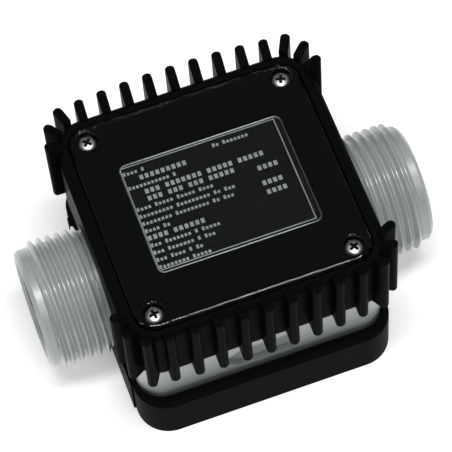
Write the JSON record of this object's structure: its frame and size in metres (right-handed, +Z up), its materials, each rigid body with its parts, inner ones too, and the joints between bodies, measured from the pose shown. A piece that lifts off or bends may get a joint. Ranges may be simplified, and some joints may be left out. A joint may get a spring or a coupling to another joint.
{
  "type": "turbine flow meter",
  "caption": "In-line turbine flow meter: plastic body with coaxial threaded ports, a spinning flat-bladed rotor between straighteners, a finned cover with a flat lens and a base tray.",
  "frame": {"origin": "middle of the base's underside, under the middle of the meter", "axes": "+X along the flow from the inlet port to the outlet port, +Y to the back, +Z up to the lens"},
  "size_m": [0.102, 0.0736, 0.05],
  "materials": {
    "body_plastic": "light grey moulded engineering plastic",
    "cover_plastic": "black moulded plastic, satin",
    "base_plastic": "black moulded plastic, matt",
    "lens": "clear plate painted dark on its back, glossy",
    "label": "black printed plate",
    "screw_steel": "bright plated steel",
    "brass": "turned brass",
    "seal_rubber": "black rubber",
    "acetal": "white moulded acetal",
    "rotor_plastic": "blue moulded plastic",
    "bush_plastic": "dark filled bearing plastic",
    "spring_steel": "spring steel",
    "shaft_steel": "ground stainless steel",
    "magnet": "nickel-plated magnet",
    "board": "green solder resist on glass laminate",
    "reed_glass": "glass capsule",
    "terminal_plastic": "green moulded plastic"
  },
  "bodies": {
    "meter": {"meter_body": "body_plastic", "inlet_straightener": "acetal", "outlet_straightener": "acetal", "inlet_bush": "bush_plastic", "outlet_bush": "bush_plastic", "inlet_retaining_ring": "spring_steel", "outlet_retaining_ring": "spring_steel", "body_seal": "seal_rubber", "finned_cover": "cover_plastic", "lens_seal": "seal_rubber", "label_plate": "label", "front_lens": "lens", "lens_screws": "screw_steel", "brass_inserts": "brass", "base_cover": "base_plastic", "base_screws": "screw_steel", "circuit_board": "board", "board_screws": "screw_steel", "reed_switch": "reed_glass", "terminal_block": "terminal_plastic", "cable_grommet": "seal_rubber"},
    "rotor": {"rotor": "rotor_plastic", "rotor_shaft": "shaft_steel", "rotor_magnets": "magnet"}
  },
  "joints": [
    {"name": "rotor_spin", "type": "hinge", "parent": "meter", "child": "rotor", "pos_m": [0, 0, 0.02], "axis": [1, 0, 0], "continuous": true}
  ]
}
